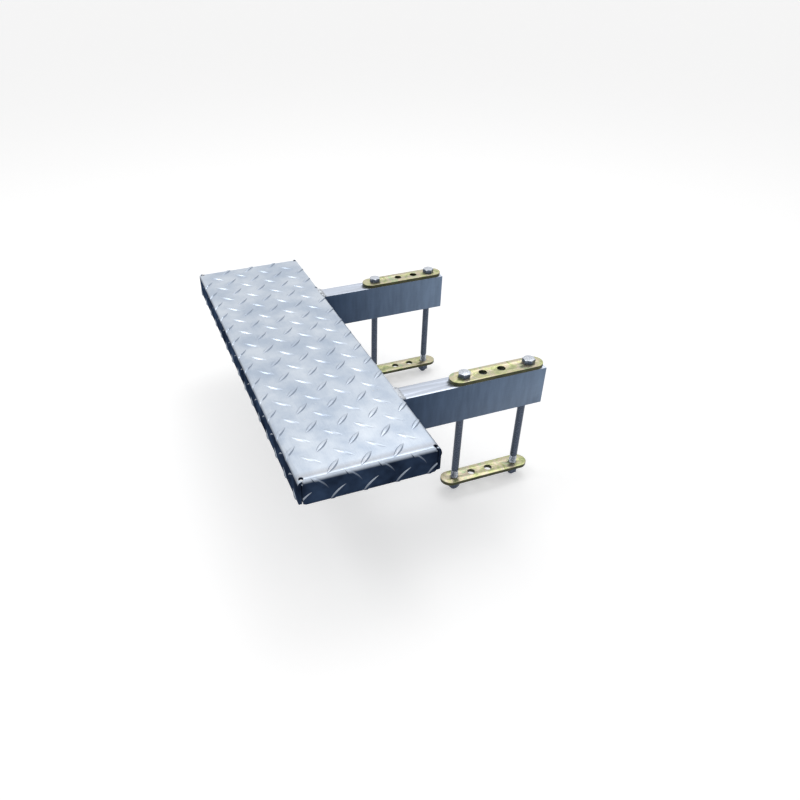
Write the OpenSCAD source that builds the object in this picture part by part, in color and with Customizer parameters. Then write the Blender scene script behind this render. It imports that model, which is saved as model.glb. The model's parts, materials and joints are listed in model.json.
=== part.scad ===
// Bolt-on step for a boat trailer. One folded tread-plate pan is welded on two box-section arms,
// and long bolts with flat clamp plates draw the arms down on a trailer tube.
// Origin: middle of the clamp seat, level with the undersides of the arms.
// +X runs along the step, +Y from the step to the free ends of the arms, +Z up.

/* [Pan] */
// Length over the end flanges
pan_length = 533.4; // [420:0.1:700]
// Width over the front and rear flanges
pan_width = 158.75; // [120:0.05:220]
// Height from the top face to the lower edge of the flanges
pan_height = 31.75; // [24:0.05:42]
// Thickness of the sheet
sheet_t = 3.2; // [2:0.1:4.8]
// Inner radius of the bends
bend_radius = 1.6; // [0.8:0.1:4]
// Radius of the round relief where two bend lines cross
relief_radius = 2.6; // [1:0.1:4]
// Gap between an end flange and the long flange beside it
corner_gap = 0.8; // [0.4:0.1:2]
// Radius of the lower corners of the flanges
flange_corner = 4; // [1:0.5:8]
// Sideways shift of the pan from the middle between the arms
pan_shift = -8; // [-20:0.5:20]
// Distance from the middle of the clamp seat to the rear face of the pan
pan_standoff = 130; // [100:0.5:180]

/* [Arms] */
// Width of an arm
arm_width = 25.4; // [22:0.1:38]
// Height of an arm
arm_height = 50.8; // [45:0.1:76]
// Wall of an arm
arm_wall = 3.2; // [2:0.1:5]
// Length of an arm
arm_length = 330.2; // [280:0.1:340]
// Distance between the middles of the two arms
arm_spacing = 290; // [200:0.5:360]
// Clearance between an arm and the notch in the rear flange
notch_clearance = 0.3; // [0.1:0.1:1]

/* [Welds] */
// Leg of the weld beads, across the arm and down its sides
weld_leg = 4.5; // [2:0.5:6]
// How far a weld bead bulges above the line between its two edges
weld_bulge = 1.2; // [0.4:0.1:2]
// Length of each stitch weld under the sheet
stitch_length = 32; // [20:1:50]

/* [Clamps] */
// Distance between the two bolts of a clamp
bolt_spacing = 88.9; // [80:0.1:110]
// Distance between the bolts when the step is on a narrow tube
narrow_spacing = 63.5; // [55:0.1:75]
// Distance from the first hole of a clamp plate to its third
short_spacing = 50.8; // [45:0.1:53]
// Distance from the outer holes of a clamp plate to its ends
hole_inset = 19.05; // [14:0.05:25]
// Width of a clamp plate
clamp_width = 25.4; // [20:0.1:30]
// Thickness of a clamp plate
clamp_t = 5; // [3:0.1:8]
// Width of the broken edges of a clamp plate
clamp_edge = 0.4; // [0.1:0.1:1]
// Diameter of the bolt holes
hole_d = 10.5; // [10:0.1:12]
// Height of the trailer tube between the arms and the lower clamp plates
tube_height = 101.6; // [90:0.1:103]

/* [Bolts, washers and nuts] */
// Diameter of the bolts
bolt_d = 9.525; // [8:0.005:9.6]
// Length of the bolts under the head
bolt_length = 177.8; // [174:0.1:190]
// Width of the hexagons across their flats
hex_width = 14.29; // [13:0.01:16]
// Height of the bolt heads
head_height = 6; // [5:0.1:8]
// Thickness of the round bearing face under a head or a nut
bearing_face = 0.4; // [0.2:0.1:0.8]
// Outer diameter of the split lock washers
lock_washer_d = 17.2; // [15:0.1:19]
// Thickness of the split lock washers
lock_washer_t = 2.4; // [1.5:0.1:3]
// Width of the slit in a lock washer
lock_washer_slit = 1.4; // [0.6:0.1:2]
// Height of the nuts
nut_height = 8.3; // [6:0.1:10]
// Clearance all round a bolt in its nut
nut_clearance = 0.05; // [0.02:0.01:0.1]
// Clearance all round a bolt in its lock washer
lock_washer_clearance = 0.3; // [0.1:0.05:0.5]

/* [Hidden] */
$fn = 64;

// Which arm: left is at -X, right at +X
left = -1;
right = 1;
// Which bolt of a clamp: front is nearer the pan
front = -1;
rear = 1;
// How far a cut runs past the faces that it goes through
past = 1;

// The pan has its own frame, with the middle of its top face at the origin
bend_outer = bend_radius + sheet_t;
flange_drop = pan_height - bend_outer;
top_z = arm_height + sheet_t;
pan_mid_y = -pan_standoff - pan_width / 2;
flat = [pan_length / 2 - bend_outer, pan_width / 2 - bend_outer];
arms_x = [-arm_spacing / 2 - pan_shift, arm_spacing / 2 - pan_shift];
// Sides of the pan: 0 is the front, 1 the right end, 2 the rear and 3 the left end
function is_end(side) = side % 2 == 1;
function bend_length(side) =
    is_end(side) ? pan_width - 2 * (bend_outer + corner_gap) : pan_length;
function flange_length(side) =
    is_end(side) ? pan_width - 2 * (sheet_t + corner_gap) : pan_length;

// Arms
arm_free_y = bolt_spacing / 2 + hole_inset;
arm_hidden_y = arm_free_y - arm_length;
arm_hole_y = [-bolt_spacing / 2, narrow_spacing - bolt_spacing / 2, bolt_spacing / 2];

// Clamps, from the top down
clamp_holes = [0, bolt_spacing - narrow_spacing, short_spacing, bolt_spacing];
head_z = arm_height + clamp_t;
bolt_end_z = head_z - bolt_length;
washer_z = -tube_height - clamp_t - lock_washer_t;
nut_z = washer_z - nut_height;
hex_corner = hex_width / 2 / cos(30);
bearing_radius = 0.47 * hex_width;
bolt_chamfer = 1;
// How each head, washer and nut came to be turned when it was tightened
function tightened(side, end) = side == left ? (end == front ? 12 : 41) : (end == front ? 0 : 24);

module box(low, high) {
    translate(low) cube(high - low);
}

module place_pan() {
    translate([pan_shift, pan_mid_y, top_z]) children();
}

// Moves a shape from the frame of one bend, which runs along X with its axis at the origin
// and its outside towards -Y and +Z, to its side of the pan
module on_side(side) {
    rotate([0, 0, 90 * side])
        translate([0, is_end(side) ? -flat.x : -flat.y, -bend_outer]) children();
}

// One bend: a quarter of a round wall
module bend(length) {
    rotate([90, 0, -90]) linear_extrude(length, center = true)
        intersection() {
            difference() {
                circle(bend_outer);
                circle(bend_radius);
            }
            square(bend_outer);
        }
}

// One flange, with its lower corners rounded
module flange(length) {
    straight = length / 2 - flange_corner;
    translate([0, -bend_radius, 0]) rotate([90, 0, 0]) linear_extrude(sheet_t) {
        translate([-length / 2, flange_corner - flange_drop])
            square([length, flange_drop - flange_corner]);
        translate([-straight, -flange_drop]) square([2 * straight, flange_corner]);
        for (x = [-straight, straight])
            translate([x, flange_corner - flange_drop]) circle(flange_corner);
    }
}

module sheet() {
    box([-flat.x, -flat.y, -sheet_t], [flat.x, flat.y, 0]);
    for (side = [0 : 3])
        on_side(side) {
            bend(bend_length(side));
            flange(flange_length(side));
        }
}

// Holes where the bend lines cross, so that the corners can fold
module corner_reliefs() {
    for (x = [-flat.x, flat.x], y = [-flat.y, flat.y])
        translate([x, y, -bend_outer]) cylinder(h = 2 * bend_outer, r = relief_radius);
}

// Openings in the rear flange that the arms pass through, up to the underside of the sheet
module arm_notches() {
    half = arm_width / 2 + notch_clearance;
    for (x = arms_x)
        box([x - half, flat.y, -pan_height - past],
            [x + half, pan_width / 2 + past, -sheet_t]);
}

module tread_pan() {
    color([0.78, 0.81, 0.84]) place_pan()
        difference() {
            sheet();
            arm_notches();
            corner_reliefs();
        }
}

// A box section, open at both ends, with the holes for the long bolts through both walls
module arm(side) {
    color([0.62, 0.68, 0.76]) translate([side * arm_spacing / 2, 0, 0])
        difference() {
            box([-arm_width / 2, arm_hidden_y, 0], [arm_width / 2, arm_free_y, arm_height]);
            box([arm_wall - arm_width / 2, arm_hidden_y - past, arm_wall],
                [arm_width / 2 - arm_wall, arm_free_y + past, arm_height - arm_wall]);
            for (y = arm_hole_y)
                translate([0, y, -past]) cylinder(h = arm_height + 2 * past, d = hole_d);
        }
}

// The bulging outline of a fillet weld in the corner between -X and -Y, both legs on the axes
module weld_outline() {
    radius = (weld_leg * weld_leg / 2 + weld_bulge * weld_bulge) / (2 * weld_bulge);
    middle = weld_leg / 2 - (radius - weld_bulge) * cos(45);
    intersection() {
        translate([middle, middle]) circle(radius);
        square(2 * weld_leg);
    }
}

// A bead down the rear flange on each side of the arm, and stitches under the sheet
module side_welds() {
    flange_low = top_z - pan_height;
    stitch_room = bend_radius + sheet_t + weld_leg;
    for (turned = [0, 1])
        mirror([turned, 0, 0]) {
            translate([arm_width / 2, -pan_standoff, flange_low + sheet_t])
                linear_extrude(arm_height - flange_low - bend_radius - sheet_t) weld_outline();
            for (y = [arm_hidden_y + stitch_room, -pan_standoff - stitch_room - stitch_length])
                translate([arm_width / 2, y, arm_height]) rotate([-90, 0, 0])
                    linear_extrude(stitch_length) weld_outline();
        }
}

// The bead across the top of the arm, which fills the corner under the rounded bend
module top_weld() {
    low = [weld_leg, 0];
    high = [-bend_outer, sheet_t];
    span = norm(low - high);
    radius = (span * span / 4 + weld_bulge * weld_bulge) / (2 * weld_bulge);
    square_to_span = [high.y - low.y, low.x - high.x] / span;
    middle = (low + high) / 2 - (radius - weld_bulge) * square_to_span;
    translate([0, -pan_standoff, arm_height]) rotate([90, 0, 90])
        linear_extrude(arm_width, center = true)
            difference() {
                intersection() {
                    translate(middle) circle(radius);
                    translate(high - [0, sheet_t]) square([low.x - high.x, sheet_t + weld_leg]);
                }
                translate([-bend_outer, sheet_t - bend_outer]) circle(bend_outer);
            }
}

module arm_welds(side) {
    color([0.7, 0.72, 0.75]) translate([side * arm_spacing / 2, 0, 0]) {
        top_weld();
        side_welds();
    }
}

// A flat bar along +Y with round ends and broken edges, its first hole at the origin
module clamp_bar() {
    half = clamp_width / 2;
    inner = half - clamp_edge;
    edge = [[0, 0], [inner, 0], [half, clamp_edge], [half, clamp_t - clamp_edge],
        [inner, clamp_t], [0, clamp_t]];
    first = half - hole_inset;
    last = bolt_spacing + hole_inset - half;
    difference() {
        union() {
            for (y = [first, last])
                translate([0, y, 0]) rotate_extrude() polygon(edge);
            translate([0, last, 0]) rotate([90, 0, 0]) linear_extrude(last - first)
                for (turned = [0, 1])
                    mirror([turned, 0]) polygon(edge);
        }
        for (y = clamp_holes)
            translate([0, y, -past]) cylinder(h = clamp_t + 2 * past, d = hole_d);
    }
}

// The left bars are turned end for end
module clamp(side, z) {
    color([0.82, 0.8, 0.62]) translate([side * arm_spacing / 2, 0, z])
        rotate(side == left ? 180 : 0) translate([0, -bolt_spacing / 2, 0]) clamp_bar();
}

// A hexagon with its corners rounded off at the top, standing on a round bearing face
module hexagon_block(height) {
    top_radius = 0.95 * hex_width / 2;
    corner_drop = (hex_corner - top_radius) * tan(30);
    cylinder(h = bearing_face, r = bearing_radius);
    intersection() {
        translate([0, 0, bearing_face]) cylinder(h = height - bearing_face, r = hex_corner, $fn = 6);
        rotate_extrude()
            polygon([[0, 0], [hex_corner + past, 0], [hex_corner + past, height - corner_drop],
                [hex_corner, height - corner_drop], [top_radius, height], [0, height]]);
    }
}

module at_bolt(side, end) {
    translate([side * arm_spacing / 2, end * bolt_spacing / 2, 0])
        rotate(tightened(side, end)) children();
}

module bolt(side, end) {
    radius = bolt_d / 2;
    color([0.72, 0.74, 0.76]) at_bolt(side, end) {
        translate([0, 0, head_z]) hexagon_block(head_height);
        translate([0, 0, bolt_end_z]) rotate_extrude()
            polygon([[0, 0], [radius - bolt_chamfer, 0], [radius, bolt_chamfer],
                [radius, bolt_length], [0, bolt_length]]);
    }
}

module lock_washer(side, end) {
    color([0.6, 0.62, 0.64]) at_bolt(side, end) translate([0, 0, washer_z])
        difference() {
            cylinder(h = lock_washer_t, d = lock_washer_d);
            translate([0, 0, -past])
                cylinder(h = lock_washer_t + 2 * past, r = bolt_d / 2 + lock_washer_clearance);
            box([0, -lock_washer_slit / 2, -past],
                [lock_washer_d, lock_washer_slit / 2, lock_washer_t + past]);
        }
}

module nut(side, end) {
    color([0.66, 0.68, 0.7]) at_bolt(side, end)
        difference() {
            translate([0, 0, washer_z]) mirror([0, 0, 1]) hexagon_block(nut_height);
            translate([0, 0, nut_z - past])
                cylinder(h = nut_height + 2 * past, r = bolt_d / 2 + nut_clearance);
        }
}

tread_pan();
arm(left);  // left_arm
arm(right);  // right_arm
arm_welds(left);  // left_arm_welds
arm_welds(right);  // right_arm_welds
clamp(left, arm_height);  // left_upper_clamp
clamp(right, arm_height);  // right_upper_clamp
clamp(left, -tube_height - clamp_t);  // left_lower_clamp
clamp(right, -tube_height - clamp_t);  // right_lower_clamp
bolt(left, front);  // left_front_bolt
bolt(left, rear);  // left_rear_bolt
bolt(right, front);  // right_front_bolt
bolt(right, rear);  // right_rear_bolt
lock_washer(left, front);  // left_front_lock_washer
lock_washer(left, rear);  // left_rear_lock_washer
lock_washer(right, front);  // right_front_lock_washer
lock_washer(right, rear);  // right_rear_lock_washer
nut(left, front);  // left_front_nut
nut(left, rear);  // left_rear_nut
nut(right, front);  // right_front_nut
nut(right, rear);  // right_rear_nut
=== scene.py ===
"""Looks of the bolt-on trailer step: tread plate with raised lugs, drawn arm tubes, rippled weld
beads, yellow zinc clamp plates and long threaded bolts, on a pale floor in soft studio light."""

import json
import math
import random

import bpy
from mathutils import Matrix, Vector


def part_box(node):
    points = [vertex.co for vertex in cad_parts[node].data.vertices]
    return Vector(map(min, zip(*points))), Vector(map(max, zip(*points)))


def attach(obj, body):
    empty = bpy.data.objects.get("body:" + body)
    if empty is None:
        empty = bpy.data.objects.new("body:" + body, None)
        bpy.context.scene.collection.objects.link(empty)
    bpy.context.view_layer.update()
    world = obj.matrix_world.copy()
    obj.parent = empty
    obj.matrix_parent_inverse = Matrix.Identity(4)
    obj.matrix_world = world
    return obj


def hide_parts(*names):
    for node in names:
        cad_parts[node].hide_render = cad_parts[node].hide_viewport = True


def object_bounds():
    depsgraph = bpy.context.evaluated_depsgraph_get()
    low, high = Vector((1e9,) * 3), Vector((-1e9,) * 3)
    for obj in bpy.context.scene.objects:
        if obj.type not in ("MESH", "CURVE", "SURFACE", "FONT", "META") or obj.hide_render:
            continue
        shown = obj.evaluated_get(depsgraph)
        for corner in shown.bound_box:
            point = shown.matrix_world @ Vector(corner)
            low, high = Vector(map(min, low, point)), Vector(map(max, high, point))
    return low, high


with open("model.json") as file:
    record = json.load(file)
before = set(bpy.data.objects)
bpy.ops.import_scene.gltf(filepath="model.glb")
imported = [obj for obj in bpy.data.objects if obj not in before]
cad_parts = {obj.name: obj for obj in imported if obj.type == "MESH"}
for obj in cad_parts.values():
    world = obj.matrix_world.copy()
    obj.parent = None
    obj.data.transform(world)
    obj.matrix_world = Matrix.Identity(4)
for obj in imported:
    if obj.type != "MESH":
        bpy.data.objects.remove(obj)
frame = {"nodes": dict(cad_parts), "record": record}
bpy.ops.object.select_all(action="DESELECT")
NODES = frame["nodes"]
CAD_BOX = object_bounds()
MM = 0.001

# Sizes and places in millimetres, shared by several pieces
ARM_X = 145
ARM_WIDTH = 25.4
BOLT_Y = 44.45

# The photograph's camera: its place, its turn and its lens, for a picture of 800 pixels
PICTURE = 800
CAMERA_PLACE = Vector((771.5, -415.4, 508.8)) * MM
CAMERA_HEADING = 70.63
CAMERA_DOWN = 37.25
CAMERA_ROLL = -1.135
FOCAL_PIXELS = 698.25
OPTICAL_CENTRE = (347.6, 437.9)
SENSOR = 36.0


def add_camera():
    heading, down, roll = (math.radians(a) for a in (CAMERA_HEADING, CAMERA_DOWN, CAMERA_ROLL))
    forward = Vector((-math.sin(heading) * math.cos(down), math.cos(heading) * math.cos(down),
                      -math.sin(down)))
    level = forward.cross(Vector((0, 0, 1))).normalized()
    above = level.cross(forward)
    across = level * math.cos(roll) + above * math.sin(roll)
    upward = above * math.cos(roll) - level * math.sin(roll)
    data = bpy.data.cameras.new("photo_camera")
    data.sensor_width = SENSOR
    data.lens = FOCAL_PIXELS * SENSOR / PICTURE
    data.shift_x = (PICTURE / 2 - OPTICAL_CENTRE[0]) / PICTURE
    data.shift_y = (OPTICAL_CENTRE[1] - PICTURE / 2) / PICTURE
    camera = bpy.data.objects.new("photo_camera", data)
    camera.matrix_world = Matrix((
        (across.x, upward.x, -forward.x, CAMERA_PLACE.x),
        (across.y, upward.y, -forward.y, CAMERA_PLACE.y),
        (across.z, upward.z, -forward.z, CAMERA_PLACE.z),
        (0, 0, 0, 1)))
    bpy.context.scene.collection.objects.link(camera)
    bpy.context.scene.camera = camera


add_camera()


# Materials

class Finish:
    """A node material under construction, read from top to bottom as its nodes are added."""

    def __init__(self, name):
        self.material = bpy.data.materials.new(name)
        self.material.use_nodes = True
        self.nodes = self.material.node_tree.nodes
        self.links = self.material.node_tree.links
        self.shader = self.nodes["Principled BSDF"]
        self.place = self.nodes.new("ShaderNodeTexCoord").outputs["Object"]

    def put(self, socket, value):
        if isinstance(value, bpy.types.NodeSocket):
            self.links.new(value, socket)
        elif isinstance(value, (tuple, list)) and len(value) == 3 and socket.type == "RGBA":
            socket.default_value = (*value, 1)
        else:
            socket.default_value = value

    def stretched(self, scale, turn=(0, 0, 0)):
        """Object coordinates in millimetres, times scale, after a turn in degrees."""
        node = self.nodes.new("ShaderNodeMapping")
        node.vector_type = "POINT"
        self.links.new(self.place, node.inputs["Vector"])
        node.inputs["Rotation"].default_value = [math.radians(a) for a in turn]
        node.inputs["Scale"].default_value = [s / MM for s in scale]
        return node.outputs["Vector"]

    def noise(self, where, detail=3.0, roughness=0.5, distortion=0.0):
        node = self.nodes.new("ShaderNodeTexNoise")
        self.links.new(where, node.inputs["Vector"])
        node.inputs["Scale"].default_value = 1.0
        node.inputs["Detail"].default_value = detail
        node.inputs["Roughness"].default_value = roughness
        node.inputs["Distortion"].default_value = distortion
        return node.outputs["Fac"]

    def steps(self, value, stops):
        """A colour ramp over value, with stops of (place, colour or grey)."""
        node = self.nodes.new("ShaderNodeValToRGB")
        self.put(node.inputs["Fac"], value)
        ramp = node.color_ramp
        for place, _ in stops[2:]:
            ramp.elements.new(place)
        for element, (place, colour) in zip(ramp.elements, stops):
            element.position = place
            grey = isinstance(colour, (int, float))
            element.color = (colour, colour, colour, 1) if grey else (*colour, 1)
        return node.outputs["Color"]

    def maths(self, operation, a, b=0.0, c=0.0):
        node = self.nodes.new("ShaderNodeMath")
        node.operation = operation
        for socket, value in zip(node.inputs, (a, b, c)):
            self.put(socket, value)
        return node.outputs["Value"]

    def mix(self, share, a, b, how="MIX"):
        node = self.nodes.new("ShaderNodeMix")
        node.data_type = "RGBA"
        node.blend_type = how
        self.put(node.inputs["Factor"], share)
        self.put(node.inputs[6], a)
        self.put(node.inputs[7], b)
        return node.outputs[2]

    def facing(self, direction="Z"):
        """How far the surface looks along one of the object's axes, from -1 to 1."""
        coordinates = self.nodes.new("ShaderNodeTexCoord")
        split = self.nodes.new("ShaderNodeSeparateXYZ")
        self.links.new(coordinates.outputs["Normal"], split.inputs["Vector"])
        return split.outputs[direction]

    def along(self, direction, low, high):
        """0 at low and 1 at high, in millimetres along one of the object's axes."""
        split = self.nodes.new("ShaderNodeSeparateXYZ")
        self.links.new(self.place, split.inputs["Vector"])
        node = self.nodes.new("ShaderNodeMapRange")
        self.links.new(split.outputs[direction], node.inputs["Value"])
        node.inputs["From Min"].default_value = low * MM
        node.inputs["From Max"].default_value = high * MM
        return node.outputs["Result"]

    def bump(self, height, distance, strength=1.0, under=None):
        """A bump of height times distance in millimetres, over the one below it."""
        node = self.nodes.new("ShaderNodeBump")
        self.put(node.inputs["Height"], height)
        node.inputs["Distance"].default_value = distance * MM
        node.inputs["Strength"].default_value = strength
        if under is not None:
            self.links.new(under, node.inputs["Normal"])
        return node.outputs["Normal"]

    def finish(self, colour, roughness, metallic, normal, specular=0.5):
        self.put(self.shader.inputs["Base Color"], colour)
        self.put(self.shader.inputs["Roughness"], roughness)
        self.put(self.shader.inputs["Metallic"], metallic)
        self.put(self.shader.inputs["Normal"], normal)
        self.put(self.shader.inputs["Specular IOR Level"], specular)
        return self.material


def srgb(red, green, blue):
    """A colour read off a picture, 0 to 255, as the shader wants it."""
    def linear(value):
        value /= 255
        return value / 12.92 if value <= 0.04045 else ((value + 0.055) / 1.055) ** 2.4
    return linear(red), linear(green), linear(blue)


def tread_aluminium():
    """Bright rolled sheet above, with a painted dark reflection of the ground on the upright flanges."""
    f = Finish("tread_aluminium")
    grain = f.noise(f.stretched((0.05, 1.8, 1.8)), detail=4)
    clouds = f.noise(f.stretched((0.025, 0.025, 0.025)), detail=3, roughness=0.6)
    blotches = f.steps(clouds, [(0.35, 0), (0.68, 1)])
    specks = f.noise(f.stretched((0.7, 0.7, 0.7)), detail=5, roughness=0.65)
    # Upward faces take the lit colour as painted light, upright faces a painted dark reflection
    painted_lit_top = f.steps(f.facing("Z"), [(0.1, 0), (0.75, 1)])
    # Lug slopes that face along X and Y alike get a painted dark reflection of the surroundings
    painted_reflection_slopes = f.steps(f.maths("MULTIPLY", f.facing("X"), f.facing("Y")), [(0.04, 0), (0.2, 1)])
    bright = f.mix(blotches, srgb(176, 188, 204), srgb(205, 213, 223))
    # A painted warm grey shadow line on the top, just before the bend at the +X end
    painted_bend_shadow = f.steps(f.along("X", 243, 255), [(0.1, 0), (0.7, 0.55), (0.95, 0)])
    bright = f.mix(painted_bend_shadow, bright, srgb(160, 158, 160))
    # Painted dark reflection on those lug slopes
    bright = f.mix(painted_reflection_slopes, bright, srgb(138, 149, 165))
    # The upright flanges' colour is a painted dark reflection, mottled like the top
    dark = f.mix(blotches, srgb(28, 38, 56), srgb(58, 76, 104))
    colour = f.mix(painted_lit_top, dark, bright)
    colour = f.mix(0.3, colour, f.steps(grain, [(0.3, 0.42), (0.7, 0.6)]), "OVERLAY")
    colour = f.mix(0.25, colour, f.steps(specks, [(0.35, 0.4), (0.65, 0.6)]), "OVERLAY")
    roughness = f.maths("ADD", f.maths("MULTIPLY", grain, 0.22), 0.24)
    # Metallic and specular fall away on upright faces, to keep the painted dark reflection dark
    metallic = f.maths("MULTIPLY", painted_lit_top, 0.88)
    specular = f.maths("MULTIPLY", painted_lit_top, 0.5)
    normal = f.bump(specks, distance=0.06, strength=0.35,
                    under=f.bump(grain, distance=0.05, strength=0.3))
    return f.finish(colour, roughness, metallic, normal, specular=specular)


def arm_aluminium():
    """Drawn tube: bright above, with a painted slate blue reflection at the sides, paler towards the free
    end.
    """
    f = Finish("arm_aluminium")
    grain = f.noise(f.stretched((2.2, 0.03, 2.2)), detail=4)
    scuffs = f.noise(f.stretched((0.12, 0.12, 0.02)), detail=4, roughness=0.6)
    # Upward faces take the lit colour as painted light, the sides a painted reflection
    painted_lit_top = f.steps(f.facing("Z"), [(0.3, 0), (0.8, 1)])
    # The sides' slate blue is a painted reflection, paler towards the free end, with scuffs laid over it
    side = f.mix(f.along("Y", -120, 63), srgb(62, 80, 106), srgb(122, 142, 168))
    side = f.mix(0.5, side, f.steps(scuffs, [(0.35, 0.4), (0.65, 0.62)]), "OVERLAY")
    colour = f.mix(painted_lit_top, side, srgb(198, 206, 220))
    colour = f.mix(0.3, colour, f.steps(grain, [(0.3, 0.42), (0.7, 0.6)]), "OVERLAY")
    roughness = f.maths("ADD", f.maths("MULTIPLY", grain, 0.22), 0.22)
    # Metallic and specular fall away at the sides, to keep the painted reflection dark
    metallic = f.maths("MULTIPLY_ADD", painted_lit_top, 0.7, 0.15)
    specular = f.maths("MULTIPLY_ADD", painted_lit_top, 0.4, 0.1)
    normal = f.bump(grain, distance=0.04, strength=0.4)
    return f.finish(colour, roughness, metallic, normal, specular=specular)


def weld_aluminium():
    """Frosty cast metal with a smoky haze."""
    f = Finish("weld_aluminium")
    speckle = f.noise(f.stretched((1.5, 1.5, 1.5)), detail=4)
    haze = f.noise(f.stretched((0.25, 0.25, 0.25)), detail=3)
    colour = f.steps(speckle, [(0.3, srgb(168, 176, 186)), (0.7, srgb(222, 226, 232))])
    colour = f.mix(f.steps(haze, [(0.45, 0), (0.7, 0.75)]), colour, srgb(96, 97, 100))
    roughness = f.steps(speckle, [(0.3, 0.34), (0.7, 0.5)])
    normal = f.bump(speckle, distance=0.1, strength=0.5)
    return f.finish(colour, roughness, 0.75, normal)


def yellow_zinc():
    """Yellow passivated zinc that drifts through green and pink, with painted shade on its upright faces.
    """
    f = Finish("yellow_zinc")
    drift = f.noise(f.stretched((0.06, 0.06, 0.06)), detail=3, roughness=0.6, distortion=1.0)
    fine = f.noise(f.stretched((0.9, 0.9, 0.9)), detail=4)
    tint = f.steps(drift, [(0.32, srgb(150, 160, 112)), (0.45, srgb(188, 190, 142)),
                           (0.56, srgb(204, 190, 168)), (0.68, srgb(168, 186, 146))])
    # Painted shade on the upright faces; the tint stands as the lit colour of upward faces
    shade = f.steps(drift, [(0.35, srgb(44, 50, 34)), (0.65, srgb(76, 76, 48))])
    painted_lit_top = f.steps(f.facing("Z"), [(0.2, 0), (0.8, 1)])
    colour = f.mix(painted_lit_top, shade, tint)
    colour = f.mix(0.25, colour, f.steps(fine, [(0.3, 0.42), (0.7, 0.62)]), "OVERLAY")
    metallic = f.maths("MULTIPLY_ADD", painted_lit_top, 0.4, 0.4)
    roughness = f.steps(fine, [(0.3, 0.26), (0.7, 0.4)])
    normal = f.bump(fine, distance=0.05, strength=0.3)
    return f.finish(colour, roughness, metallic, normal, specular=0.3)


def bright_zinc():
    """Blue-white zinc, with painted shade where it stands upright and painted light on upward faces."""
    f = Finish("bright_zinc")
    fine = f.noise(f.stretched((0.8, 0.8, 0.8)), detail=4)
    painted_lit_top = f.steps(f.facing("Z"), [(0.1, 0), (0.8, 1)])
    # Painted shade for upright faces and painted light for upward ones
    shade = f.steps(fine, [(0.3, srgb(58, 68, 86)), (0.7, srgb(92, 102, 120))])
    light = f.steps(fine, [(0.3, srgb(182, 188, 198)), (0.7, srgb(212, 217, 224))])
    metallic = f.maths("MULTIPLY_ADD", painted_lit_top, 0.45, 0.45)
    roughness = f.steps(fine, [(0.3, 0.22), (0.7, 0.36)])
    normal = f.bump(fine, distance=0.04, strength=0.3)
    return f.finish(f.mix(painted_lit_top, shade, light), roughness, metallic, normal, specular=0.3)


FINISHES = {
    "tread_plate": tread_aluminium(),
    "arm_tube": arm_aluminium(),
    "weld_metal": weld_aluminium(),
    "yellow_zinc": yellow_zinc(),
    "bright_zinc": bright_zinc(),
}
for part in frame["record"]["subparts"]:
    mesh = NODES[part["node"]].data
    mesh.materials.clear()
    mesh.materials.append(FINISHES[part["material_slot"]])


# Pieces made here: the lugs, and stand-ins for plain CAD solids

BODY_OF = {node: body for body, nodes in frame["record"]["behaviour"]["bodies"].items()
           for node in nodes}
SLOT_OF = {part["node"]: part["material_slot"] for part in frame["record"]["subparts"]}
MERGE_GAP = 2e-6
FLAT_ANGLE = 0.5


def only(obj):
    """Make obj the one selected and active object."""
    bpy.ops.object.select_all(action="DESELECT")
    obj.select_set(True)
    bpy.context.view_layer.objects.active = obj


def edit(obj, kind="FACE", wanted=lambda element: True):
    """Open obj in edit mode with only its wanted corners, edges or faces selected."""
    only(obj)
    bpy.context.tool_settings.mesh_select_mode = [kind == k for k in ("VERT", "EDGE", "FACE")]
    mesh = obj.data
    for elements in (mesh.vertices, mesh.edges, mesh.polygons):
        elements.foreach_set("select", [False] * len(elements))
    for element in {"VERT": mesh.vertices, "EDGE": mesh.edges, "FACE": mesh.polygons}[kind]:
        element.select = wanted(element)
    bpy.ops.object.mode_set(mode="EDIT")


def close_edit():
    bpy.ops.object.mode_set(mode="OBJECT")


def modify(obj, kind, **settings):
    only(obj)
    modifier = obj.modifiers.new(kind.lower(), kind)
    for name, value in settings.items():
        setattr(modifier, name, value)
    bpy.ops.object.modifier_apply(modifier=modifier.name)


def settle(obj):
    """Put the object's own frame at the origin, unturned and unscaled."""
    only(obj)
    bpy.ops.object.transform_apply(location=True, rotation=True, scale=True)


def joined(objects, name):
    only(objects[0])
    for obj in objects:
        obj.select_set(True)
    bpy.ops.object.join()
    objects[0].name = name
    settle(objects[0])
    return objects[0]


def copied(obj, name, shift=(0, 0, 0), turn=0.0, about=(0, 0)):
    """A copy with its own mesh, turned about a vertical line and then shifted."""
    copy = obj.copy()
    copy.data = obj.data.copy()
    copy.name = name
    bpy.context.scene.collection.objects.link(copy)
    middle = Vector((*about, 0))
    copy.matrix_world = (Matrix.Translation(Vector(shift) + middle)
                         @ Matrix.Rotation(math.radians(turn), 4, "Z") @ Matrix.Translation(-middle))
    settle(copy)
    return copy


def dress(piece, node, slot):
    """Let a piece stand for a node, ride on that node's body and take a slot's finish."""
    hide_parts(node)
    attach(piece, BODY_OF[node])
    piece.data.materials.clear()
    piece.data.materials.append(FINISHES[slot])


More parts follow.
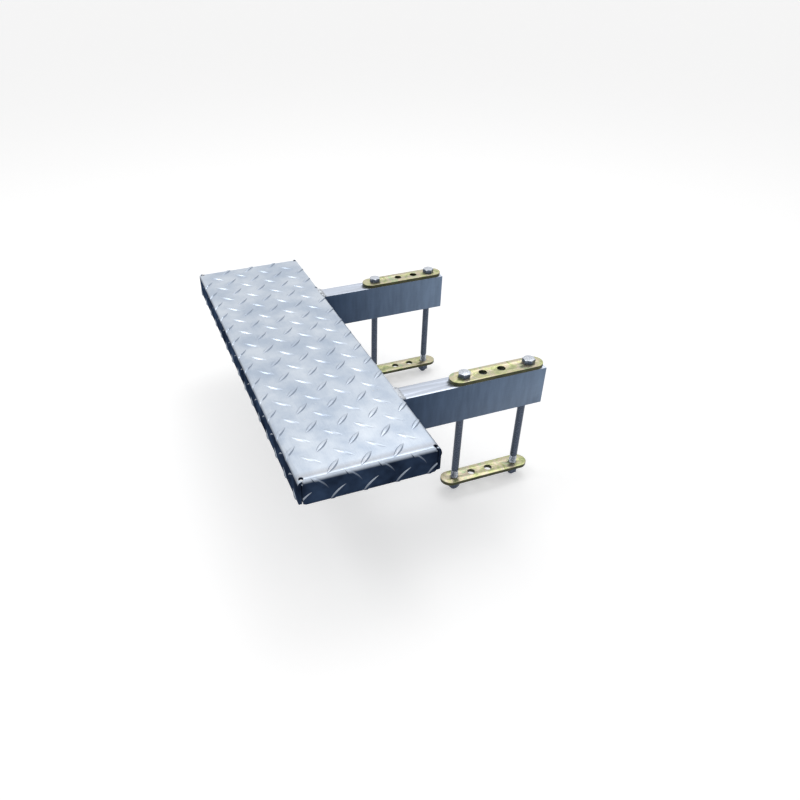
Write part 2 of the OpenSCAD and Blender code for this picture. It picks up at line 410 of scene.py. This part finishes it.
def softened(node, width, segments=2, sharpest=35):
    """The node's own shape with its sharp edges broken."""
    piece = NODES[node].copy()
    piece.data = NODES[node].data.copy()
    piece.name = node + "_broken_edges"
    bpy.context.scene.collection.objects.link(piece)
    edit(piece)
    bpy.ops.mesh.remove_doubles(threshold=MERGE_GAP)
    bpy.ops.mesh.dissolve_limited(angle_limit=math.radians(FLAT_ANGLE))
    close_edit()
    modify(piece, "BEVEL", width=width * MM, segments=segments, limit_method="ANGLE",
           angle_limit=math.radians(sharpest), harden_normals=True)
    only(piece)
    bpy.ops.object.shade_smooth_by_angle(angle=math.radians(30))
    dress(piece, node, SLOT_OF[node])
    return piece


# Long hexagon bolts with a rolled thread at the lower end

BOLT_RADIUS = 4.7625
THREAD_PITCH = 1.5875
THREAD_LENGTH = 31.75
THREAD_DEPTH = 0.9
THREAD_START = 0.8
THREAD_STEPS = 24
RIDGE_ROOT = 0.1
RIDGE_BASE = 0.94
RIDGE_CREST = 0.16
SHANK_CHAMFER = 0.6
CORE_CHAMFER = 0.7
HEAD_HEIGHT = 6
HEX_WIDTH = 14.29
HEAD_SLOPE = 30
HEAD_FLAT = 0.95
HEAD_EDGE = 0.25
WASHER_FACE = 0.4
WASHER_FACE_WIDTH = 0.94


def cylinder(low, high, radius, sides=48, place=(0, 0)):
    bpy.ops.mesh.primitive_cylinder_add(
        vertices=sides, radius=radius * MM, depth=(high - low) * MM,
        location=(place[0], place[1], (low + high) / 2 * MM))
    return bpy.context.object


def thread_ridge(low, high, radius):
    """A ridge that winds up a shank from low to high, its root a little inside the core."""
    bpy.ops.mesh.primitive_plane_add(size=1)
    ridge = bpy.context.object
    depth = THREAD_DEPTH * (1 + RIDGE_ROOT)
    ridge.dimensions = (depth * MM, RIDGE_BASE * THREAD_PITCH * MM, 0)
    ridge.rotation_euler = (math.pi / 2, 0, 0)
    ridge.location = ((radius - depth / 2) * MM, 0, (low + THREAD_PITCH / 2) * MM)
    settle(ridge)
    crest = (radius - THREAD_DEPTH / 2) * MM
    edit(ridge, "VERT", lambda v: v.co.x > crest)
    bpy.ops.transform.resize(value=(1, 1, RIDGE_CREST))
    bpy.ops.mesh.select_all(action="SELECT")
    bpy.ops.mesh.delete(type="ONLY_FACE")
    close_edit()
    turns = round((high - low) / THREAD_PITCH) - 1
    modify(ridge, "SCREW", axis="Z", angle=2 * math.pi, screw_offset=THREAD_PITCH * MM,
           steps=THREAD_STEPS, render_steps=THREAD_STEPS, iterations=turns, use_normal_calculate=True)
    edit(ridge)
    bpy.ops.mesh.select_mode(type="EDGE")
    bpy.ops.mesh.select_all(action="DESELECT")
    bpy.ops.mesh.select_non_manifold()
    bpy.ops.mesh.fill_holes(sides=4)
    bpy.ops.mesh.select_all(action="SELECT")
    bpy.ops.mesh.normals_make_consistent(inside=False)
    close_edit()
    return ridge


def hexagon_head(low, high):
    """A head with a sloping rim, and the thin round washer face under it."""
    height = high - low
    flat = HEAD_FLAT * HEX_WIDTH / 2
    head = cylinder(low + WASHER_FACE, high, HEX_WIDTH / 2 / math.cos(math.radians(30)), 6)
    bpy.ops.mesh.primitive_cone_add(
        vertices=64, radius1=(flat + height / math.tan(math.radians(HEAD_SLOPE))) * MM,
        radius2=flat * MM, depth=height * MM, location=(0, 0, (low + high) / 2 * MM))
    cone = bpy.context.object
    modify(head, "BOOLEAN", object=cone, operation="INTERSECT", solver="EXACT")
    bpy.data.objects.remove(cone)
    modify(head, "BEVEL", width=HEAD_EDGE * MM, segments=2, limit_method="ANGLE",
           angle_limit=math.radians(25), harden_normals=True)
    disc = cylinder(low, low + WASHER_FACE, WASHER_FACE_WIDTH * HEX_WIDTH / 2)
    return [head, disc]


def chamfered_end(rod, width):
    """Bevel the lower rim of a rod; only that end of it lies below Z = 0."""
    edit(rod, "EDGE", lambda e: all(rod.data.vertices[v].co.z < 0 for v in e.vertices))
    bpy.ops.mesh.bevel(offset=width * MM, segments=1)
    close_edit()


def long_bolt():
    """One bolt, standing at the origin, with its head at its own height."""
    low, high = (corner.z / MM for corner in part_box("left_front_bolt"))
    under_head = high - HEAD_HEIGHT
    thread_top = low + THREAD_LENGTH
    shank = cylinder(thread_top, under_head, BOLT_RADIUS)
    chamfered_end(shank, SHANK_CHAMFER)
    core = cylinder(low, thread_top + 1, BOLT_RADIUS - THREAD_DEPTH)
    chamfered_end(core, CORE_CHAMFER)
    ridge = thread_ridge(low + THREAD_START, thread_top, BOLT_RADIUS)
    pieces = [shank, core, ridge] + hexagon_head(under_head, high)
    return joined(pieces, "long_bolt")


# Weld beads: overlapping drops of metal, melted into one

RIPPLE = 2.0
DROP_DRIFT = 0.12
DROP_SHIFT = 0.25
DROP_SIZES = (0.92, 1.06)
TOP_BEAD_Y, TOP_BEAD_Z, TOP_BEAD_INSET = -130.2, 51.7, 1.6
TOP_DROP, TOP_TILT = (1.9, 5.2, 2.1), (-19, 0, 0)
SIDE_BEAD_Y, SIDE_BEAD_LOW, SIDE_BEAD_HIGH = -129.5, 27.4, 44.6
SIDE_DROP = (3.6, 3.6, 1.8)
STITCHES, STITCH_Z = ((-256.7, -228.3), (-168.4, -140)), 50.3
STITCH_DROP = (3.6, 1.8, 3.6)
BEAD_OUT = 0.5
BEAD_VOXEL = 0.32
UNTILTED = (0, 0, 0)


def weld_drop(radii, tilt):
    """One drop at the origin, its second radius along the bead."""
    bpy.ops.mesh.primitive_uv_sphere_add(segments=20, ring_count=12, radius=MM)
    drop = bpy.context.object
    edit(drop)
    bpy.ops.transform.resize(value=radii)
    close_edit()
    drop.rotation_euler = [math.radians(a) for a in tilt]
    settle(drop)
    return drop


def weld_bead(name, start, end, radii, tilt, chance):
    """Drops of the given radii from start to end, in millimetres."""
    start, end = Vector(start), Vector(end)
    drop = weld_drop(radii, tilt)
    count = round((end - start).length / RIPPLE)
    drops = []
    for i in range(count + 1):
        place = start.lerp(end, (i + chance.uniform(-DROP_DRIFT, DROP_DRIFT) * (0 < i < count)) / count)
        place += Vector([chance.uniform(-DROP_SHIFT, DROP_SHIFT) for _ in range(3)])
        bit = copied(drop, name, place * MM)
        edit(bit)
        bpy.ops.transform.resize(value=[chance.uniform(*DROP_SIZES)] * 3, center_override=place * MM)
        close_edit()
        drops.append(bit)
    bpy.data.objects.remove(drop)
    return joined(drops, name)


def arm_beads(chance):
    """The beads of one arm, with the arm's middle at X = 0."""
    half = ARM_WIDTH / 2
    inner = half - TOP_BEAD_INSET
    beads = [weld_bead("top", (-inner, TOP_BEAD_Y, TOP_BEAD_Z), (inner, TOP_BEAD_Y, TOP_BEAD_Z),
                       TOP_DROP, TOP_TILT, chance)]
    for side in (-1, 1):
        x = side * (half + BEAD_OUT)
        beads.append(weld_bead("side", (x, SIDE_BEAD_Y, SIDE_BEAD_LOW), (x, SIDE_BEAD_Y, SIDE_BEAD_HIGH),
                               SIDE_DROP, UNTILTED, chance))
        for low, high in STITCHES:
            beads.append(weld_bead("stitch", (x, low, STITCH_Z), (x, high, STITCH_Z),
                                   STITCH_DROP, UNTILTED, chance))
    beads = joined(beads, "arm_weld_beads")
    modify(beads, "REMESH", mode="VOXEL", voxel_size=BEAD_VOXEL * MM)
    modify(beads, "SMOOTH", factor=0.5, iterations=2)
    only(beads)
    bpy.ops.object.shade_smooth()
    return beads


# Raised lugs of the tread plate, rolled into the flat blank and folded down with it

SHEET = 3.2
BEND_OUTER = 4.8
BEND_ARC = BEND_OUTER * math.pi / 2
CORNER_GAP = 0.8
FLANGE_CORNER = 4
RELIEF_RADIUS = 2.6
LUG_PITCH = 36.6
LUG_LENGTH, LUG_WIDTH, LUG_RISE, LUG_ROOT = 27, 6.4, 1.2, 0.6
LUG_ROUNDING = 0.8
LUG_SLOPE = math.radians(40)
LUG_START = Vector((30.8, 23.2))
LUG_REACH = LUG_LENGTH / 2 * math.cos(math.radians(45))
FOLDS = 8
LINE_SLACK = 0.001
WELD_LEG = 4.5
WELD_STRIP = ARM_WIDTH / 2 + WELD_LEG

PAN_LOW, PAN_HIGH = (corner / MM for corner in map(Vector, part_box("tread_pan")))
PAN_MIDDLE = (PAN_LOW + PAN_HIGH) / 2
PAN_SIZE = PAN_HIGH - PAN_LOW
FLAT = Vector((PAN_SIZE.x / 2 - BEND_OUTER, PAN_SIZE.y / 2 - BEND_OUTER))
FLANGE_END = BEND_ARC + PAN_SIZE.z - BEND_OUTER


def one_lug():
    """A lens with sloping sides and an arched crown, rooted below the plane Z = 0."""
    lens_radius = (LUG_LENGTH ** 2 + LUG_WIDTH ** 2) / (4 * LUG_WIDTH)
    crown_radius = (LUG_LENGTH ** 2 / 4 + LUG_RISE ** 2) / (2 * LUG_RISE)
    halves = []
    for side in (-1, 1):
        bpy.ops.mesh.primitive_cone_add(
            vertices=108, radius1=(lens_radius + LUG_ROOT / math.tan(LUG_SLOPE)) * MM,
            radius2=(lens_radius - LUG_RISE / math.tan(LUG_SLOPE)) * MM, depth=(LUG_ROOT + LUG_RISE) * MM,
            location=(0, side * (lens_radius - LUG_WIDTH / 2) * MM, (LUG_RISE - LUG_ROOT) / 2 * MM))
        halves.append(bpy.context.object)
    bpy.ops.mesh.primitive_cylinder_add(
        vertices=216, radius=crown_radius * MM, depth=2 * LUG_WIDTH * MM,
        location=(0, 0, (LUG_RISE - crown_radius) * MM), rotation=(math.pi / 2, 0, 0))
    halves.append(bpy.context.object)
    lug = halves[0]
    for other in halves[1:]:
        modify(lug, "BOOLEAN", object=other, operation="INTERSECT", solver="EXACT")
        bpy.data.objects.remove(other)
    settle(lug)
    edit(lug)
    bpy.ops.mesh.remove_doubles(threshold=MERGE_GAP)
    close_edit()
    modify(lug, "BEVEL", width=LUG_ROUNDING * MM, segments=3, limit_method="ANGLE",
           angle_limit=math.radians(20))
    return lug


def lug_places():
    """The middle of each lug on the flat blank and its turn, the pan's middle at the origin."""
    first = Vector((PAN_SIZE.x / 2 - LUG_START.x, LUG_START.y - PAN_SIZE.y / 2))
    blank = FLAT + Vector((1, 1)) * (FLANGE_END + LUG_REACH)
    for column in range(-2, int(2 * blank.x / LUG_PITCH) + 2):
        for row in range(-4, int(2 * blank.y / LUG_PITCH) + 2):
            place = first + Vector((-column, row)) * LUG_PITCH
            yield place, 45
            yield place + Vector((-0.5, 0.5)) * LUG_PITCH, -45


def side_of(place):
    """Where a lug lies: "top", a side (0 front, 1 right end, 2 rear, 3 left end), or None at a corner."""
    over = Vector((abs(place.x), abs(place.y))) - FLAT
    if over.x <= -LUG_REACH and over.y <= -LUG_REACH:
        return "top"
    if over.length < LUG_LENGTH / 2 + RELIEF_RADIUS:
        return None
    if over.y > -LUG_REACH and (over.x <= -LUG_REACH or over.y >= LUG_REACH):
        return 0 if place.y < 0 else 2
    return 1 if place.x > 0 else 3


def cut_away(obj, place, outward):
    """Cut a flat off obj beyond place, in millimetres."""
    edit(obj)
    bpy.ops.mesh.bisect(plane_co=Vector(place) * MM, plane_no=outward, use_fill=True, clear_outer=True)
    close_edit()


def fold_down(obj):
    """Fold what lies beyond Y = 0 round the bend, towards -Z, in small steps."""
    lines = [(step + 0.5) / FOLDS * BEND_ARC for step in range(FOLDS)]
    for line in lines:
        edit(obj)
        bpy.ops.mesh.bisect(plane_co=(0, -line * MM, 0), plane_no=(0, 1, 0))
        close_edit()
    past = [-v.co.y / MM for v in obj.data.vertices]
    turn = math.pi / 2 / FOLDS
    pivot, done = Vector((0, 0, 0)), 0
    for step, line in enumerate(lines):
        pivot += Vector((0, -math.cos(step * turn), -math.sin(step * turn))) * (line - done)
        done = line
        # What lies on the line takes half of the step, and what lies beyond it takes both halves
        for slack in (-LINE_SLACK, LINE_SLACK):
            edit(obj, "VERT", lambda v: past[v.index] > line + slack)
            bpy.ops.transform.rotate(value=-turn / 2, orient_axis="X", center_override=pivot * MM)
            close_edit()


def side_lugs(side, places, lug):
    """The lugs of one side, laid out flat, cut to the sheet and clear of the welds, and folded."""
    is_end = side in (1, 3)
    half = PAN_SIZE.y / 2 - SHEET - CORNER_GAP if is_end else PAN_SIZE.x / 2
    back = Matrix.Rotation(math.radians(90 * side), 4, "Z")
    bits = []
    for place, turn in places:
        spot = back.inverted() @ Vector((*place, 0))
        spot.y += FLAT.x if is_end else FLAT.y
        if abs(spot.x) > half + LUG_REACH or -spot.y > FLANGE_END + LUG_REACH:
            continue
        bit = copied(lug, "lug")
        bit.location = spot * MM
        bit.rotation_euler.z = math.radians(turn - 90 * side)
        settle(bit)
        for arm in (-ARM_X, ARM_X):
            strip = PAN_MIDDLE.x - arm
            if side == 2 and abs(spot.x - strip) < WELD_STRIP + LUG_REACH and -spot.y > -LUG_REACH:
                hand = 1 if spot.x > strip else -1
                cut_away(bit, (strip + hand * WELD_STRIP, 0, 0), (-hand, 0, 0))
        bits.append(bit)
    group = joined(bits, "side_lugs")
    for hand in (-1, 1):
        cut_away(group, (hand * half, 0, 0), (hand, 0, 0))
        corner = Vector((hand * half, -FLANGE_END, 0))
        slant = Vector((hand, -1, 0)).normalized()
        cut_away(group, corner - slant * FLANGE_CORNER * (math.sqrt(2) - 1), slant)
    cut_away(group, (0, -FLANGE_END, 0), (0, -1, 0))
    fold_down(group)
    group.matrix_world = (Matrix.Translation(Vector((PAN_MIDDLE.x, PAN_MIDDLE.y, PAN_HIGH.z)) * MM) @ back
                          @ Matrix.Translation(Vector((0, -(FLAT.x if is_end else FLAT.y), 0)) * MM))
    settle(group)
    return group


def tread_lugs():
    lug = one_lug()
    sides = {key: [] for key in ("top", 0, 1, 2, 3, None)}
    for place, turn in lug_places():
        sides[side_of(place)].append((place, turn))
    bits = [side_lugs(side, sides[side], lug) for side in range(4)]
    for place, turn in sides["top"]:
        bit = copied(lug, "lug")
        bit.location = Vector((PAN_MIDDLE.x + place.x, PAN_MIDDLE.y + place.y, PAN_HIGH.z)) * MM
        bit.rotation_euler.z = math.radians(turn)
        bits.append(bit)
    bpy.data.objects.remove(lug)
    lugs = joined(bits, "tread_lugs")
    bpy.ops.object.shade_smooth_by_angle(angle=math.radians(35))
    return lugs


# The pieces in place

HEAD_TURNS = {"left_front": 12, "left_rear": 41, "right_front": 0, "right_rear": 24}
ARM_EDGE, CLAMP_EDGE, SMALL_EDGE = 0.8, 0.35, 0.2

pattern = long_bolt()
only(pattern)
bpy.ops.object.shade_smooth_by_angle(angle=math.radians(35))
for corner, turn in HEAD_TURNS.items():
    x = ARM_X * (1 if corner.startswith("right") else -1)
    y = BOLT_Y * (1 if corner.endswith("rear") else -1)
    bolt = copied(pattern, corner + "_threaded_bolt", (x * MM, y * MM, 0), turn)
    dress(bolt, corner + "_bolt", "bright_zinc")
bpy.data.objects.remove(pattern)

lugs = tread_lugs()
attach(lugs, BODY_OF["tread_pan"])
lugs.data.materials.clear()
lugs.data.materials.append(FINISHES["tread_plate"])

beads = arm_beads(random.Random(7))
for side, x in (("left", -ARM_X), ("right", ARM_X)):
    dress(copied(beads, side + "_arm_weld_beads", (x * MM, 0, 0)), side + "_arm_welds", "weld_metal")
bpy.data.objects.remove(beads)

for side in ("left", "right"):
    softened(side + "_arm", ARM_EDGE, 3)
    softened(side + "_upper_clamp", CLAMP_EDGE)
    softened(side + "_lower_clamp", CLAMP_EDGE)
    for end in ("front", "rear"):
        softened(f"{side}_{end}_nut", SMALL_EDGE)
        softened(f"{side}_{end}_lock_washer", SMALL_EDGE)


# Floor, background and lamps

FLOOR_Z = CAD_BOX[0].z - 1 * MM
FLOOR_SIZE = 30.0
FLOOR_GREY = 0.8
FLOOR_GLOW = 0.4
WORLD_LEVEL = 0.6
MIDDLE = (CAD_BOX[0] + CAD_BOX[1]) / 2
# Place in metres, size in metres and watts of each lamp
LAMPS = {
    "softbox_front": ((-0.1, -1.05, 1.35), (0.9, 0.45), 4.5),
    "softbox_over": ((-0.5, 0.4, 1.5), (1.0, 0.8), 5),
}


def seen_directly(nodes, links):
    """1 for what the camera, a reflection or glass sees, and 0 for scattered light."""
    path = nodes.new("ShaderNodeLightPath")
    first = nodes.new("ShaderNodeMath")
    first.operation = "MAXIMUM"
    links.new(path.outputs["Is Camera Ray"], first.inputs[0])
    links.new(path.outputs["Is Glossy Ray"], first.inputs[1])
    second = nodes.new("ShaderNodeMath")
    second.operation = "MAXIMUM"
    links.new(first.outputs[0], second.inputs[0])
    links.new(path.outputs["Is Transmission Ray"], second.inputs[1])
    return second.outputs[0]


def add_world():
    world = bpy.data.worlds.new("studio")
    bpy.context.scene.world = world
    world.use_nodes = True
    nodes, links = world.node_tree.nodes, world.node_tree.links
    strength = nodes.new("ShaderNodeMapRange")
    links.new(seen_directly(nodes, links), strength.inputs["Value"])
    strength.inputs["To Min"].default_value = WORLD_LEVEL
    strength.inputs["To Max"].default_value = 1.0
    links.new(strength.outputs["Result"], nodes["Background"].inputs["Strength"])
    nodes["Background"].inputs["Color"].default_value = (1, 1, 1, 1)


def add_floor():
    bpy.ops.mesh.primitive_plane_add(size=FLOOR_SIZE, location=(0, 0, FLOOR_Z))
    floor = bpy.context.object
    floor.name = "studio_floor"
    material = bpy.data.materials.new("pale_floor")
    material.use_nodes = True
    nodes, links = material.node_tree.nodes, material.node_tree.links
    shader = nodes["Principled BSDF"]
    shader.inputs["Base Color"].default_value = (FLOOR_GREY, FLOOR_GREY, FLOOR_GREY, 1)
    shader.inputs["Roughness"].default_value = 0.9
    shader.inputs["Emission Color"].default_value = (1, 1, 1, 1)
    glow = nodes.new("ShaderNodeMath")
    glow.operation = "MULTIPLY"
    links.new(seen_directly(nodes, links), glow.inputs[0])
    glow.inputs[1].default_value = FLOOR_GLOW
    links.new(glow.outputs[0], shader.inputs["Emission Strength"])
    floor.data.materials.append(material)
    floor.select_set(False)


def add_lamp(name, place, size, watts):
    data = bpy.data.lights.new(name, "AREA")
    data.shape = "RECTANGLE"
    data.size, data.size_y = size
    data.energy = watts
    lamp = bpy.data.objects.new(name, data)
    lamp.location = place
    lamp.rotation_euler = (MIDDLE - Vector(place)).to_track_quat("-Z", "Y").to_euler()
    bpy.context.scene.collection.objects.link(lamp)


bpy.context.scene.view_settings.view_transform = "Standard"
add_world()
add_floor()
for lamp_name, (lamp_place, lamp_size, lamp_watts) in LAMPS.items():
    add_lamp(lamp_name, lamp_place, lamp_size, lamp_watts)
